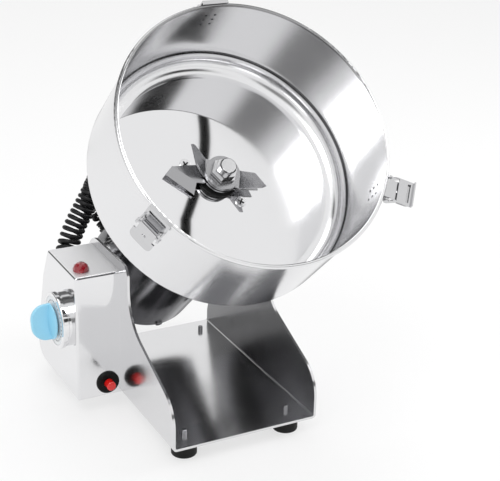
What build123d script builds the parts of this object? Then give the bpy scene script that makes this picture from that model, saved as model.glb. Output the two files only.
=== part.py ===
from build123d import *
import os
from math import radians, sqrt, tan

# Electric swing-type grain mill with its lid off. Millimetres, +Z up, the front at -Y, the control box at -X.
# The origin is the centre of the base plate's underside. The head (bowl and motor) tilts about an X axis.

# Stand: one sheet folded to a U
stand_depth = 240.0
stand_height = 144.5
stand_sheet = 2.5
stand_bend = 4.0
motor_side_gap = 13.0       # from the motor's housing to the side plates
front_corner_z = 44.2       # where the sloping front edge starts
front_corner_radius = 34.0
step_y = -12.5              # the upright front edge of the ears
step_drop = 55.2            # from the ears' top to the step
step_radius = 48.0
ear_front_radius = 12.0
ear_back_y = 86.0
ear_back_radius = 24.0
back_slope_z = 14.5

# Feet
foot_x = 55.0
foot_y = 97.5
foot_radius = 12.5
foot_height = 17.5
foot_recess_radius = 7.5
foot_recess_depth = 7.0
foot_screw_radius = 2.5
foot_screw_reach = 5.5      # above the base plate
foot_head_radius = 4.75
foot_head_height = 3.2
foot_washer_radius = 6.5
foot_washer_thickness = 1.0

# Pivot and head
pivot_y = 75.0
pivot_drop = 23.0           # below the ears' top
tilt = 47.5                 # of the head at rest, from upright
pivot_bolt_radius = 4.0
pivot_flange_radius = 8.5
pivot_flange_thickness = 1.6
pivot_hex = 13.0
pivot_hex_height = 5.3
pivot_thread = 8.0
boss_radius = 12.0
bush_radius = 11.0
bush_thickness = 2.5

# Bowl
bowl_radius = 125.0
bowl_height = 103.5
bowl_wall = 1.2
bowl_floor = 1.5
bowl_corner = 2.5
bead_radius = 2.2
bead_overhang = 2.3
ring_radius = 17.0          # of the rounded floor corner
ring_sheet = 0.6
bowl_bottom = 168.0         # above the pivot, along the motor

# Motor housing
housing_radius = 61.0
housing_sheet = 1.2
housing_bottom = -78.0
plate_thickness = 8.0
fit = 0.05                  # between pieces that are fixed in each other
running = 0.1               # between a shaft or pin and its hole
cover_skirt = 8.0
cover_vents = 12
cover_vent_radius = 4.0
cover_vent_inset = 15.8     # of the vents' circle, from the housing's wall
cover_screw_count = 3
small_screw_radius = 2.0
small_head_radius = 3.8
small_head_height = 2.2

# Motor
shaft_radius = 6.0
upper_shaft_radius = 7.5
thread_radius = 5.0
shaft_bottom = -38.0
upper_bearing_radius = 17.5
upper_bearing_width = 11.0
lower_bearing_radius = 16.0
lower_bearing_width = 10.0
bearing_wall = 4.5
seal_radius = 9.0
bracket_z = 8.0
bracket_thickness = 6.0
stator_z = 62.0
stator_height = 60.0
air_gap = 1.0
armature_radius = 31.5
coil_height = 14.0
coil_inner = 36.0
coil_inset = 5.8
winding_height = 12.0
winding_radius = 27.0
commutator_radius = 15.0
commutator_z = 20.0
commutator_height = 22.0
brush_width = 7.0
brush_height = 9.0
brush_length = 15.0
holder_width = 13.0
holder_inner = 19.0
holder_inset = 9.8
spring_radius = 2.8
spring_wire = 0.5
spring_turns = 6
fan_inset = 15.8
fan_height = 20.0
fan_blades = 9
fan_hub_radius = 10.0
fan_sheet = 2.0

# Blade stack, upwards from the bowl's floor
slinger_radius = 19.0
slinger_gap = 0.3
slinger_height = 2.7
spacer_radius = 13.0
spacer_height = 4.0
blade_sheet = 2.0
blade_hub_radius = 17.0
washer_radius = 12.0
washer_height = 2.0
cup_washer_radius = 16.8
cup_washer_height = 2.0
jam_nut_hex = 22.0
jam_nut_height = 4.5
cap_nut_hex = 18.5
cap_nut_height = 5.0
cap_radius = 8.0
cap_height = 6.0
cap_wall = 2.0
floor_screw_places = [(33.5, 145.5), (30.0, -58.5)]     # radius and angle
floor_screw_radius = 2.5
floor_head_radius = 5.3
floor_head_height = 1.0
floor_screw_length = 9.0

# Latches, round the bowl's wall
latch_angles = [90.0, -30.0, -150.0]
latch_open = [0.0, 90.0, 0.0]
latch_sheet = 1.2
latch_gap = 0.2
latch_pin_radius = 1.25
latch_pin_y = 5.0           # the lever's pin, out from the wall and up from the bowl's bottom
latch_pin_z = 86.0
hook_pin_y = 8.0            # the hook's pins on the lever
hook_pin_z = 82.0
bracket_half = 11.0
bracket_low = 70.0
bracket_high = 92.0
ear_half = 10.6
ear_radius = 3.2
lever_y = 9.0
tab_half = 12.0
tab_shoulder = 73.0
tab_crease = 68.0
tab_tip = 58.5
tab_lean = 5.0
tab_corner = 6.0
rivet_z = 72.5
rivet_radius = 2.0
rivet_height = 0.8
hook_y = 3.2
hook_plate_low = 90.0
hook_under = 103.9          # the lip's underside, over the bowl's bead
hook_lip = 2.7
hook_slit_low = 98.5
hook_slit_high = 101.5
hook_slit_half = 9.5
hook_boss = 2.8
hook_root = 3.0             # how far the hook's cheeks reach below its plate
hook_pin_head = 0.8
cheek_margin = 2.6          # round the lever's pins

# Control box on the left side plate
box_width = 46.5
box_front = 5.0
box_drop = 10.0             # below the ears' top
box_bottom = 1.5
box_top_back = 84.0
box_knee_y = 101.5
box_knee_drop = 33.5        # below the box's top
box_knee_radius = 8.0
box_foot_y = 130.5          # where the back flat's line meets the bottom
box_foot_radius = 20.0
box_edge = 2.4
box_sheet = 1.2
box_flange = 9.0
box_screw_places = [(12.0, 127.5), (12.0, 11.0), (106.0, 11.0), (52.0, 127.5)]

# Timer on the box's left side
timer_y = 38.8
timer_drop = 56.3            # from the box's top
bezel_radius = 28.6
bezel_height = 10.9
bezel_flange = 4.5
bezel_groove = 1.2
dial_radius = 24.9
dial_sheet = 1.1
dial_recess = 0.4
timer_neck_radius = 20.0
timer_body_size = 44.0
timer_body_depth = 20.0
knob_radius = 18.3
knob_foot_radius = 13.5     # the knob narrows towards the dial
knob_gap = 0.3
knob_rise = 3.7             # of the rim's outer edge, above the bezel
knob_rim = 1.0
knob_dome = 3.0
fin_half = 18.0
fin_reach = 19.8            # above the rim
fin_corner = 15.0
fin_width = 5.5
fin_turn = 13.5             # at rest, the fin's upper end to the back
knob_shaft_radius = 3.0
knob_shaft_depth = 18.0

# Indicator lamp on the box's top
lamp_inset = 33.5           # from the side plate's outside
lamp_y = 23.0
lamp_radius = 8.1
lamp_height = 8.3
lamp_neck_radius = 4.5
lamp_body_radius = 6.5
lamp_body_height = 20.0

# Overload switch on the box's front
switch_inset = 15.0         # from the side plate's outside
switch_z = 16.7
collar_radius = 11.7
collar_height = 3.0
switch_neck_radius = 7.0
switch_neck_height = 1.5
button_radius = 4.7
button_reach = 11.5
button_depth = 6.0
button_travel = 3.0
switch_body_width = 18.0
switch_body_height = 20.0
switch_body_depth = 28.0

# Terminal block, glands and curly cord
terminal_size = (12.0, 36.0, 14.0)
terminal_y = 78.0
terminal_z = 42.0
gland_radius = 8.0
gland_length = 9.0
gland_flange = 2.0
gland_neck = 6.0
gland_inside = 3.0
wire_radius = 2.25
mains_gland_z = 40.0
cord_gland_inset = 11.0     # from the side plate's outside
cord_gland_drop = 18.5      # below the box's knee
motor_gland_turn = 120.0    # round the motor, from +X
motor_gland_z = -60.0
cord_radius = 12.5
cord_run_out = 13.0         # straight, from each gland
cord_run_in = 18.0
cord_rise = [               # corners after the box's gland, from that gland's mouth
    (2.0, 22.3, 12.0), (9.5, 30.5, 27.0), (17.0, 31.5, 44.5), (28.5, 31.5, 64.0),
    (41.0, 32.0, 85.0), (52.5, 33.5, 105.0), (63.5, 39.5, 123.5), (73.5, 62.5, 129.0),
]
cord_fall = [               # corners before the motor's gland, from that gland's mouth
    (23.0, 39.8, 78.3), (22.0, 45.8, 57.3), (15.5, 41.3, 37.3), (1.5, 30.8, 23.3),
]

# Worked-out places
inner_x = housing_radius + motor_side_gap
outer_x = inner_x + stand_sheet
stand_width = 2 * outer_x
step_z = stand_height - step_drop
pivot_z = stand_height - pivot_drop
bead_reach = bowl_radius + bead_overhang
floor_top = bowl_bottom + bowl_floor
housing_inner = housing_radius - housing_sheet
cover_vent_circle = housing_inner - cover_vent_inset
coil_outer = housing_inner - coil_inset
holder_outer = housing_inner - holder_inset
fan_radius = housing_inner - fan_inset
box_left = -outer_x - box_width
box_top = stand_height - box_drop
box_knee_z = box_top - box_knee_drop
timer_z = box_top - timer_drop
lamp_x = -outer_x - lamp_inset
switch_x = -outer_x - switch_inset
cord_gland_x = -outer_x - cord_gland_inset
cord_gland_z = box_knee_z - cord_gland_drop


def cylinder(radius, low, high):
    return Pos(0, 0, low) * Cylinder(radius, high - low, align=(Align.CENTER, Align.CENTER, Align.MIN))


def tube(outer, inner, low, high):
    return cylinder(outer, low, high) - cylinder(inner, low - 1, high + 1)


def block(low, high):
    size = [b - a for a, b in zip(low, high)]
    middle = [(a + b) / 2 for a, b in zip(low, high)]
    return Pos(*middle) * Box(*size)


def hexagon(across, low, high):
    return Pos(0, 0, low) * extrude(RegularPolygon(across / 2, 6, major_radius=False), high - low)


def outline(points, radii):
    # a closed outline whose corners are rounded by the radii, 0 for a sharp one
    face = make_face(Polyline(*points, close=True))
    for point, radius in zip(points, radii):
        if radius:
            face = fillet(face.vertices().sort_by_distance((*point, 0))[0], radius)
    return face


def extrude_x(face, low, high):
    # a (y, z) outline between two x planes
    return Pos(low, 0, 0) * extrude(Plane.YZ * face, high - low)


def along_x(shape, side):
    # from standing on Z to lying on X, outwards on that side
    return Rot(0, 90 * side, 0) * shape


def cross_recess(radius, top, depth):
    arm = block((-radius, -0.45, top - depth), (radius, 0.45, top + 1))
    return arm + Rot(0, 0, 90) * arm


def pan_screw(head_radius, head_height, radius, length):
    # the head's seat is at z = 0
    head = cylinder(head_radius, 0, head_height)
    head = fillet(head.edges().sort_by(Axis.Z)[-1], head_height * 0.45)
    head -= cross_recess(head_radius * 0.55, head_height, head_height * 0.6)
    return head + cylinder(radius, -length, 0.1)


def export(name, shapes):
    shape = Compound(list(shapes)) if isinstance(shapes, list) else shapes
    export_step(shape, f"parts/{name}.step")


def solids(shapes):
    return [solid for shape in shapes for solid in shape.solids()]


def in_head(shape):
    # the head is drawn upright about its pivot
    return Pos(0, pivot_y, pivot_z) * Rot(tilt, 0, 0) * shape


# ---- stand

def side_outline():
    points = [
        (-stand_depth / 2, -1), (-stand_depth / 2, front_corner_z), (step_y, step_z), (step_y, stand_height),
        (ear_back_y, stand_height), (stand_depth / 2, back_slope_z), (stand_depth / 2, -1),
    ]
    return outline(points, [0, front_corner_radius, step_radius, ear_front_radius, ear_back_radius, 5, 0])


def stand_frame():
    above = stand_height + 10
    outer = [(-outer_x, 0), (-outer_x, above), (outer_x, above), (outer_x, 0)]
    inner = [(-inner_x, stand_sheet), (-inner_x, above + 1), (inner_x, above + 1), (inner_x, stand_sheet)]
    inside_bend = stand_bend - stand_sheet
    section = outline(outer, [stand_bend, 0, 0, stand_bend]) - outline(inner, [inside_bend, 0, 0, inside_bend])
    channel = Pos(0, stand_depth / 2, 0) * extrude(Plane.XZ * section, stand_depth)
    frame = channel & extrude_x(side_outline(), -stand_width, stand_width)
    for x, y in foot_places():
        frame -= Pos(x, y, 0) * cylinder(foot_screw_radius + fit, -1, stand_sheet + 1)
    frame -= Pos(0, pivot_y, pivot_z) * Rot(0, 90, 0) * Cylinder(pivot_bolt_radius + running, stand_width + 2)
    for y, z in box_screw_places:
        frame -= Pos(-outer_x, y, z) * Rot(0, 90, 0) * Cylinder(small_screw_radius + fit, 4 * stand_sheet)
    return frame


def foot_places():
    return [(x, y) for x in (-foot_x, foot_x) for y in (-foot_y, foot_y)]


def rubber_foot():
    foot = cylinder(foot_radius, -foot_height, 0)
    foot = fillet(foot.edges().sort_by(Axis.Z)[0], 1.5)
    foot -= cylinder(foot_recess_radius, -foot_height - 1, -foot_height + foot_recess_depth)
    return foot - cylinder(foot_screw_radius + fit, -foot_height, 1)


def foot_washer():
    seat = -foot_height + foot_recess_depth
    return tube(foot_washer_radius, foot_screw_radius + fit, seat - foot_washer_thickness, seat)


def foot_screw():
    seat = -foot_height + foot_recess_depth - foot_washer_thickness
    length = stand_sheet + foot_screw_reach - seat
    screw = Rot(180, 0, 0) * pan_screw(foot_head_radius, foot_head_height, foot_screw_radius, length)
    screw = Pos(0, 0, seat) * screw
    return chamfer(screw.edges().sort_by(Axis.Z)[-1], 0.6)


# ---- control box

def box_outline():
    points = [
        (box_front, box_bottom), (box_front, box_top), (box_top_back, box_top), (box_knee_y, box_knee_z),
        (box_foot_y, box_bottom),
    ]
    corner = box_edge + 0.3
    return outline(points, [corner, corner, corner, box_knee_radius, box_foot_radius])


def control_box_shell():
    outer_face = box_outline()
    outer = extrude_x(outer_face, box_left, -outer_x)
    outer = fillet(outer.faces().sort_by(Axis.X)[0].edges(), box_edge)
    inner_face = offset(outer_face, -box_sheet)
    inner = extrude_x(inner_face, box_left + box_sheet, -outer_x + 1)
    inner = fillet(inner.faces().sort_by(Axis.X)[0].edges(), box_edge - box_sheet)
    shell = outer - inner
    flange_hole = offset(outer_face, -box_flange)
    flange = extrude_x(inner_face - flange_hole, -outer_x - box_sheet, -outer_x)
    flange -= Pos(-outer_x, pivot_y, pivot_z) * Rot(0, 90, 0) * Cylinder(pivot_flange_radius + 3, 20)
    shell += flange
    shell -= on_box_side(cylinder(timer_neck_radius + fit, -5, 5))
    shell -= Pos(lamp_x, lamp_y, box_top) * Cylinder(lamp_neck_radius + fit, 10)
    shell -= on_box_front(Cylinder(switch_neck_radius + fit, 10))
    for gland_place in (mains_gland_place(), cord_gland_place()):
        shell -= gland_place * Cylinder(gland_neck + fit, 10)
    for y, z in box_screw_places:
        shell -= Pos(-outer_x, y, z) * Rot(0, 90, 0) * Cylinder(small_screw_radius + fit, 4 * box_sheet)
    return shell


def on_box_side(shape):
    return Pos(box_left, timer_y, timer_z) * Rot(0, -90, 0) * shape


def on_box_front(shape):
    return Pos(switch_x, box_front, switch_z) * Rot(90, 0, 0) * shape


def on_back_flat(x, z):
    # a place on the box's lower back flat, with its Z axis straight out of it
    run_y, run_z = box_foot_y - box_knee_y, box_knee_z - box_bottom
    place = Vector(x, box_knee_y + run_y * (box_knee_z - z) / run_z, z)
    return Location(Plane(place, x_dir=(1, 0, 0), z_dir=Vector(0, run_z, run_y)))


def cord_gland_place():
    return on_back_flat(cord_gland_x, cord_gland_z)


def mains_gland_place():
    return on_back_flat(-outer_x - box_width / 2, mains_gland_z)


def gland(wall):
    # a ribbed strain relief that stands on z = 0 and reaches through the wall
    body = cylinder(gland_radius + gland_flange, 0, gland_flange)
    body += cylinder(gland_radius - 1.2, 0, gland_length)
    ribs = 3
    pitch = (gland_length - gland_flange) / ribs
    for n in range(ribs):
        top = gland_length - n * pitch
        body += cylinder(gland_radius, top - pitch * 0.6, top)
    body += cylinder(gland_neck, -wall - gland_inside, 0)
    return body - cylinder(wire_radius, -wall - gland_inside - 1, gland_length + 1)


def motor_gland():
    # its flange follows the round housing
    saddle = motor_gland_place() * (gland(housing_sheet) + tube(gland_radius + gland_flange, wire_radius, -2, 0.1))
    inside = cylinder(housing_radius, housing_bottom, bowl_bottom)
    neck = motor_gland_place() * cylinder(gland_neck, -housing_sheet - gland_inside, 0)
    neck -= motor_gland_place() * cylinder(wire_radius, -20, 20)
    return (saddle - inside) + (neck & inside)


def control_box_screws():
    screw = along_x(pan_screw(small_head_radius, small_head_height, small_screw_radius, stand_sheet + 4), 1)
    return [Pos(-inner_x, y, z) * screw for y, z in box_screw_places]


def timer_bezel():
    side = bezel_radius - bezel_groove
    ring = cylinder(side, 0, bezel_height - bezel_flange)
    groove_low = bezel_height - bezel_flange - 2 * bezel_groove
    ring -= tube(side + 1, side - bezel_groove, groove_low, bezel_height - bezel_flange)
    flange = cylinder(bezel_radius, bezel_height - bezel_flange, bezel_height)
    flange = fillet(flange.edges().sort_by(Axis.Z)[-1], 1.2)
    return on_box_side(ring + flange - cylinder(dial_radius + fit, -1, bezel_height + 1))


def timer_dial():
    top = bezel_height - dial_recess
    return on_box_side(tube(dial_radius, knob_shaft_radius + running, top - dial_sheet, top))


def timer_body():
    low = -box_sheet - timer_body_depth
    half = timer_body_size / 2
    body = block((-half, -half, low), (half, half, -box_sheet))
    body += cylinder(timer_neck_radius, -box_sheet - 0.1, bezel_height - dial_recess - dial_sheet)
    shaft_end = bezel_height - knob_shaft_depth - running
    return on_box_side(body - cylinder(knob_shaft_radius + running, shaft_end, bezel_height))


def timer_knob():
    # a flat dome that narrows towards the dial, with an upright fin across it
    low = bezel_height + knob_gap
    rim_top = bezel_height + knob_rise
    rim_low = rim_top - knob_rim
    sphere_radius = (knob_radius ** 2 + knob_dome ** 2) / (2 * knob_dome)
    crown = rim_top + knob_dome
    halfway = crown - sphere_radius + sqrt(sphere_radius ** 2 - knob_radius ** 2 / 4)
    side = Polyline((0, crown), (0, low), (knob_foot_radius, low), (knob_radius, rim_low), (knob_radius, rim_top))
    arc = ThreePointArc((knob_radius, rim_top), (knob_radius / 2, halfway), (0, crown))
    knob = revolve(Plane.XZ * make_face(side + arc), Axis.Z)
    top = rim_top + fin_reach
    face = outline([(-fin_half, rim_low), (-fin_half, top), (fin_half, top), (fin_half, rim_low)],
                   [0, fin_corner, fin_corner, 0])
    fin = extrude(Plane.XZ * face, fin_width / 2, both=True)
    fin = fillet(fin.edges().filter_by(Axis.Y, reverse=True).sort_by(Axis.Z)[2:], fin_width * 0.32)
    knob += Rot(0, 0, fin_turn) * fin
    knob += cylinder(knob_shaft_radius, bezel_height - knob_shaft_depth, low + 0.1)
    return on_box_side(knob)


def lamp_lens():
    sphere_radius = (lamp_radius ** 2 + lamp_height ** 2) / (2 * lamp_height)
    ball = Pos(0, 0, lamp_height - sphere_radius) * Sphere(sphere_radius)
    cap = ball & cylinder(lamp_radius + 5, 0, lamp_height + 5)
    return Pos(lamp_x, lamp_y, box_top) * cap


def lamp_body():
    body = cylinder(lamp_body_radius, -box_sheet - lamp_body_height, -box_sheet)
    body += cylinder(lamp_neck_radius, -box_sheet - 0.1, 0)
    return Pos(lamp_x, lamp_y, box_top) * body


def switch_collar():
    collar = cylinder(collar_radius, 0, collar_height)
    collar = fillet(collar.edges().sort_by(Axis.Z)[-1], 2.0)
    collar -= cylinder(switch_neck_radius + fit, -1, switch_neck_height)
    return on_box_front(collar - cylinder(button_radius + 0.4, -1, collar_height + 1))


def switch_body():
    low = -box_sheet - switch_body_depth
    half_x, half_y = switch_body_width / 2, switch_body_height / 2
    body = block((-half_x, -half_y, low), (half_x, half_y, -box_sheet))
    body += cylinder(switch_neck_radius, -box_sheet - 0.1, switch_neck_height)
    well = -button_depth - button_travel - 1
    return on_box_front(body - cylinder(button_radius + running, well, switch_neck_height + 1))


def reset_button():
    button = cylinder(button_radius, -button_depth, button_reach)
    return on_box_front(fillet(button.edges().sort_by(Axis.Z)[-1], 1.5))


def terminal_block():
    width, length, height = terminal_size
    body = block((-outer_x - width, terminal_y - length / 2, terminal_z - height / 2),
                 (-outer_x, terminal_y + length / 2, terminal_z + height / 2))
    poles = 4
    for n in range(poles):
        y = terminal_y + length * ((n + 0.5) / poles - 0.5)
        body -= Pos(-outer_x - width, y, terminal_z) * Rot(0, 90, 0) * Cylinder(2.5, 12)
    return body


# ---- head: bowl and housing

def bowl():
    top = bowl_bottom + bowl_height
    shell = cylinder(bowl_radius, bowl_bottom, top - bead_radius)
    shell = fillet(shell.edges().sort_by(Axis.Z)[0], bowl_corner)
    shell += Pos(0, 0, top - bead_radius) * Torus(bead_reach - bead_radius, bead_radius)
    shell -= cylinder(bowl_radius - bowl_wall, floor_top, top + 1)
    shell -= cylinder(seal_radius + fit, bowl_bottom - 1, floor_top + 1)
    for place in floor_screw_spots():
        shell -= place * cylinder(floor_screw_radius + fit, bowl_bottom - 1, floor_top + 1)
    return shell


def bowl_corner_ring():
    # a quarter round strip, tangent to the floor and the wall
    outer = ring_radius + ring_sheet
    centre_r = bowl_radius - bowl_wall - fit - outer
    centre_z = floor_top + outer
    disc = Pos(centre_r, centre_z) * (Circle(outer) - Circle(ring_radius))
    quarter = disc & Pos(centre_r + outer, centre_z - outer) * Rectangle(2 * outer, 2 * outer)
    return revolve(Plane.XZ * quarter, Axis.Z)


def floor_screw_spots():
    return [Rot(0, 0, angle) * Pos(radius, 0, 0) for radius, angle in floor_screw_places]


def floor_screws():
    screw = pan_screw(floor_head_radius, floor_head_height, floor_screw_radius, floor_screw_length)
    return [place * Pos(0, 0, floor_top) * screw for place in floor_screw_spots()]


def cover_screw_places():
    z = housing_bottom + housing_sheet + cover_skirt / 2
    return [Rot(0, 0, 30 + 360 * n / cover_screw_count) * Pos(0, 0, z) for n in range(cover_screw_count)]


def motor_housing():
    shell = tube(housing_radius, housing_inner, housing_bottom, bowl_bottom)
    for place in cover_screw_places():
        hole = Pos(housing_radius, 0, 0) * Rot(0, 90, 0) * Cylinder(small_screw_radius + fit, 10)
        shell -= place * hole
    return shell - motor_gland_place() * Cylinder(gland_neck + fit, 10)


def motor_gland_place():
    # the gland's foot stands off the round wall by its own flange's sagitta
    return Rot(0, 0, motor_gland_turn) * Pos(housing_radius, 0, motor_gland_z) * Rot(0, 90, 0)


def trunnion_boss(side):
    reach = inner_x - bush_thickness
    boss = along_x(cylinder(boss_radius, housing_radius * 0.9, reach), side)
    boss -= cylinder(housing_radius, -2 * boss_radius, 2 * boss_radius)
    return boss - along_x(cylinder(pivot_bolt_radius + fit, reach - pivot_thread, reach + 1), side)


def pivot_bush(side):
    ring = tube(bush_radius, pivot_bolt_radius + running, inner_x - bush_thickness, inner_x)
    return Pos(0, pivot_y, pivot_z) * along_x(ring, side)


def pivot_bolt(side):
    bolt = cylinder(pivot_bolt_radius, inner_x - bush_thickness - pivot_thread + 0.5, outer_x + 0.1)
    bolt += cylinder(pivot_flange_radius, outer_x, outer_x + pivot_flange_thickness)
    hex_low = outer_x + pivot_flange_thickness - 0.1
    bolt += hexagon(pivot_hex, hex_low, outer_x + pivot_flange_thickness + pivot_hex_height)
    return along_x(bolt, side)


def bottom_cover():
    radius = housing_inner - fit
    top = housing_bottom + housing_sheet
    cover = cylinder(radius, housing_bottom, top)
    cover += tube(radius, radius - housing_sheet, top - 0.1, top + cover_skirt)
    for n in range(cover_vents):
        vent = Rot(0, 0, 360 * (n + 0.5) / cover_vents) * Pos(cover_vent_circle, 0, 0)
        cover -= vent * cylinder(cover_vent_radius, housing_bottom - 1, top + 1)
    for place in cover_screw_places():
        cover -= place * Pos(radius, 0, 0) * Rot(0, 90, 0) * Cylinder(small_screw_radius + fit, 10)
    return cover


def cover_screws():
    length = housing_radius - housing_inner + housing_sheet + 3
    screw = along_x(pan_screw(small_head_radius, small_head_height, small_screw_radius, length), 1)
    return [place * Pos(housing_radius, 0, 0) * screw for place in cover_screw_places()]


# ---- motor

def end_plate():
    bearing_top = bowl_bottom - plate_thickness
    plate = cylinder(housing_inner - fit, bearing_top, bowl_bottom)
    housing = upper_bearing_radius + bearing_wall
    plate += cylinder(housing, bearing_top - upper_bearing_width, bearing_top + 0.1)
    plate -= cylinder(upper_bearing_radius + fit, bearing_top - upper_bearing_width - 1, bearing_top)
    plate -= cylinder(seal_radius + fit, bearing_top - 1, bowl_bottom + 1)
    for place in floor_screw_spots():
        depth = floor_screw_length - bowl_floor + 0.5
        plate -= place * cylinder(floor_screw_radius + fit, bowl_bottom - depth, bowl_bottom + 1)
    return plate


def upper_bearing():
    top = bowl_bottom - plate_thickness
    return tube(upper_bearing_radius, upper_shaft_radius + fit, top - upper_bearing_width, top)


def lower_bracket():
    top = bracket_z + bracket_thickness
    plate = cylinder(housing_inner - fit, bracket_z, top)
    plate += cylinder(lower_bearing_radius + bearing_wall, bracket_z - lower_bearing_width, bracket_z + 0.1)
    plate -= cylinder(lower_bearing_radius + fit, bracket_z - lower_bearing_width - 1, bracket_z)
    plate -= cylinder(shaft_radius + 2, bracket_z - 1, top + 1)
    windows = 6
    for n in range(windows):
        window = Rot(0, 0, 360 * n / windows) * Pos((holder_outer + lower_bearing_radius) / 2, 0, 0)
        if n % (windows // 2):
            plate -= window * cylinder(8, bracket_z - 1, top + 1)
    return plate


def lower_bearing():
    low = bracket_z - lower_bearing_width
    return tube(lower_bearing_radius, shaft_radius + fit, low, bracket_z)


def shaft_seal():
    return tube(seal_radius, upper_shaft_radius + running, bowl_bottom - plate_thickness, floor_top)


def stator_core():
    inner = armature_radius + air_gap
    core = tube(housing_inner - fit, inner, stator_z, stator_z + stator_height)
    slots = 12
    for n in range(slots):
        slot = Rot(0, 0, 360 * n / slots) * Pos(inner + 3, 0, 0)
        core -= slot * cylinder(2.2, stator_z - 1, stator_z + stator_height + 1)
    return core


def stator_coils():
    top = stator_z + stator_height
    return [tube(coil_outer, coil_inner, top, top + coil_height),
            tube(coil_outer, coil_inner, stator_z - coil_height, stator_z)]


def brush_centre():
    return commutator_z + commutator_height / 2


def brush_holder():
    base = bracket_z + bracket_thickness
    top = brush_centre() + brush_height / 2 + 3
    half = holder_width / 2
    holder = block((holder_inner, -half, base), (holder_outer, half, top))
    slot_half, slot_rise = brush_width / 2 + running, brush_height / 2 + running
    return holder - block((holder_inner - 1, -slot_half, brush_centre() - slot_rise),
                          (holder_outer - 3, slot_half, brush_centre() + slot_rise))


def carbon_brush():
    low = commutator_radius + running
    return block((low, -brush_width / 2, brush_centre() - brush_height / 2),
                 (low + brush_length, brush_width / 2, brush_centre() + brush_height / 2))


def brush_spring():
    start = commutator_radius + running + brush_length + spring_wire
    length = holder_outer - 3 - spring_wire - start
    path = Helix(length / spring_turns, length, spring_radius)
    section = Plane(path @ 0, z_dir=path % 0) * Circle(spring_wire)
    return Pos(start, 0, brush_centre()) * Rot(0, 90, 0) * sweep(section, path=path)


def both_sides(shape):
    return [shape, Rot(0, 0, 180) * shape]


def rotor_shaft():
    core_top = stator_z + stator_height + winding_height + 3
    shaft = cylinder(shaft_radius, shaft_bottom, core_top)
    shaft += cylinder(upper_shaft_radius, core_top - 0.1, stack("lower_blade"))
    shaft += cylinder(thread_radius, stack("lower_blade") - 0.1, stack("cap") + cap_height - cap_wall)
    return shaft


def armature_core():
    core = tube(armature_radius, shaft_radius + fit, stator_z - 1, stator_z + stator_height + 1)
    slots = 16
    for n in range(slots):
        slot = Rot(0, 0, 360 * n / slots) * Pos(armature_radius - 2.2, 0, 0)
        core -= slot * cylinder(1.7, stator_z - 2, stator_z + stator_height + 2)
    return core


def armature_windings():
    top = stator_z + stator_height + 1
    inner = shaft_radius + fit
    return [tube(winding_radius, inner, top, top + winding_height),
            tube(winding_radius, inner, stator_z - 1 - winding_height, stator_z - 1)]


def commutator():
    top = commutator_z + commutator_height
    ring = tube(commutator_radius, shaft_radius + fit, commutator_z, top)
    bars = 12
    for n in range(bars):
        turn = Rot(0, 0, 360 * (n + 0.5) / bars)
        ring -= turn * Pos(commutator_radius, 0, 0) * cylinder(0.5, commutator_z - 1, top + 1)
    return ring


def cooling_fan():
    low = shaft_bottom + 2
    fan = cylinder(fan_hub_radius, low, low + fan_height)
    fan += cylinder(fan_radius, low, low + fan_sheet)
    for n in range(fan_blades):
        blade = block((fan_hub_radius - 1, -fan_sheet / 2, low), (fan_radius, fan_sheet / 2, low + fan_height))
        fan += Rot(0, 0, 360 * n / fan_blades) * blade
    return fan - cylinder(shaft_radius + fit, low - 1, low + fan_height + 1)


# ---- blade stack

def stack(name):
    # the height above the pivot at which a piece of the stack starts
    heights = [
        ("slinger", slinger_height), ("spacer", spacer_height), ("lower_blade", blade_sheet),
        ("washer", washer_height), ("upper_blade", blade_sheet), ("cup_washer", cup_washer_height),
        ("jam_nut", jam_nut_height), ("cap_nut", cap_nut_height), ("cap", cap_height),
    ]
    z = floor_top + slinger_gap
    for piece, height in heights:
        if piece == name:
            return z
        z += height
    raise KeyError(name)


def stack_ring(name, radius, height, bore):
    return tube(radius, bore + fit, stack(name), stack(name) + height)


def wing(root, tip, bend):
    # a flat wing, drawn along (s) and away from (d) the fold line that runs from one root point to the other,
    # then turned about the fold by the bend angle
    (x0, y0), (x1, y1) = root
    length = sqrt((x1 - x0) ** 2 + (y1 - y0) ** 2)
    along = Vector((x1 - x0) / length, (y1 - y0) / length, 0)
    fold = Plane((x0, y0, 0), x_dir=along, z_dir=(0, 0, 1))
    face = make_face(Polyline((0, 0), (length, 0), *tip, close=True))
    plate = extrude(face, blade_sheet / 2, both=True)
    roll = Pos(length / 2, 0, 0) * Rot(0, 90, 0) * Cylinder(blade_sheet / 2, length)
    return fold.location * (Rot(bend, 0, 0) * plate + roll)


def flat(points):
    return extrude(make_face(Polyline(*points, close=True)), blade_sheet / 2, both=True)


def blade_hole():
    return cylinder(thread_radius + fit, -blade_sheet, blade_sheet)


def upper_blade():
    # two wings bent up, their tips cut at a slant
    root = [(18.6, 0.0), (12.2, -16.8)]
    tip = [(21.0, 23.0), (19.7, 27.3), (5.1, 16.0)]
    bend = 45
    hub = cylinder(blade_hub_radius, -blade_sheet / 2, blade_sheet / 2)
    hub += flat([root[0], root[1], (-root[0][0], -root[0][1]), (-root[1][0], -root[1][1])])
    for n in range(2):
        hub += Rot(0, 0, 180 * n) * wing(root, tip, bend)
    return Pos(0, 0, stack("upper_blade") + blade_sheet / 2) * (hub - blade_hole())


def lower_blade():
    # a long wing with a flap bent down to the floor along a slanted fold, and a short flat one opposite
    long_root = [(-25.5, -3.0), (-45.0, 15.5)]
    long_tip = [(28.1, 9.2), (-4.0, 11.4)]
    hub = cylinder(blade_hub_radius, -blade_sheet / 2, blade_sheet / 2)
    hub += flat([(-14, -6), long_root[0], long_root[1], (-22, 13.5), (-10, 12)])
    hub += flat([(14, 4), (30, -7), (32.1, -19.7), (12.7, -16.3), (-6, -13)])
    blade = hub + wing(long_root, long_tip, -24)
    return Pos(0, 0, stack("lower_blade") + blade_sheet / 2) * (blade - blade_hole())


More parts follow.
